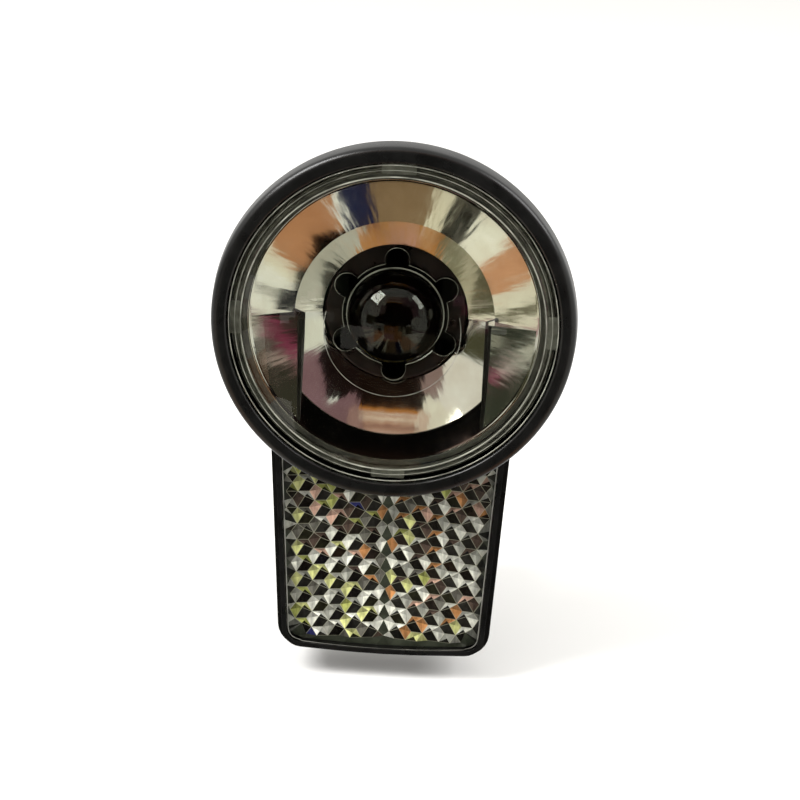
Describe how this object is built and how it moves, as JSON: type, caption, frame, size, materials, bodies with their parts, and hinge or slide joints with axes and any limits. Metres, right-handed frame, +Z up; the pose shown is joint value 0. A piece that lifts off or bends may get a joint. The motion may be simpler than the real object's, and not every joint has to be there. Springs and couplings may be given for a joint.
{
  "type": "bicycle headlight",
  "caption": "Round bicycle dynamo headlight with a metallised bowl, a dome lens, a clear reflex panel below, a rear rotary switch and a tilting steel fork bracket.",
  "frame": {"origin": "centre of the bracket's bolt hole, on the rear face that meets the fork", "axes": "+Z up along the lamp's height; +Y backwards, along the fork bolt; the beam leaves along -Y; +X to the right seen from the front"},
  "size_m": [0.0602, 0.0543, 0.0973],
  "materials": {
    "black_abs": "moulded ABS, satin to gloss black",
    "knob_plastic": "moulded, fine matt texture",
    "dark_holder": "moulded, near black brown",
    "clear_lens": "water clear, polished",
    "reflex_clear": "clear with cube-corner prisms behind",
    "metallised": "vacuum metallised, mirror bright",
    "rubber": "moulded, dull",
    "stainless": "stamped and bent, fine brushed",
    "zinc_steel": "zinc plated",
    "aluminium": "plain, satin",
    "brass": "bright",
    "circuit_board": "glass laminate with green solder mask",
    "emitter": "phosphor under a clear cap",
    "component_black": "epoxy moulding",
    "ferrite": "ferrite drum with lacquer"
  },
  "bodies": {
    "bracket": {"mounting_bracket": "stainless", "pivot_bolt": "zinc_steel", "pivot_nut": "zinc_steel", "pivot_washers": "zinc_steel"},
    "head": {"housing": "black_abs", "front_bezel": "black_abs", "rear_cover": "black_abs", "dome_holder": "dark_holder", "front_lens": "clear_lens", "dome_lens": "clear_lens", "reflex_plate": "reflex_clear", "reflector": "metallised", "lens_gasket": "rubber", "cover_gasket": "rubber", "knob_seal": "rubber", "cable_grommet": "rubber", "optic_screws": "zinc_steel", "board_screws": "zinc_steel", "cover_screws": "zinc_steel", "heat_sink": "aluminium", "led_board": "aluminium", "standlight_capacitor": "aluminium", "link_pins": "brass", "wire_posts": "brass", "driver_board": "circuit_board", "led_emitter": "emitter", "rectifier_diodes": "component_black", "choke": "ferrite"},
    "switch": {"switch_knob": "knob_plastic", "knob_clip": "zinc_steel", "switch_wiper": "brass"}
  },
  "joints": [
    {"name": "head_tilt", "type": "hinge", "parent": "bracket", "child": "head", "pos_m": [0, -0.025, 0.017], "axis": [1, 0, 0], "range_deg": [-15, 15]},
    {"name": "switch_turn", "type": "hinge", "parent": "head", "child": "switch", "pos_m": [0, -0.01462, 0.05905], "axis": [0, -1, 0], "range_deg": [0, 90]}
  ]
}
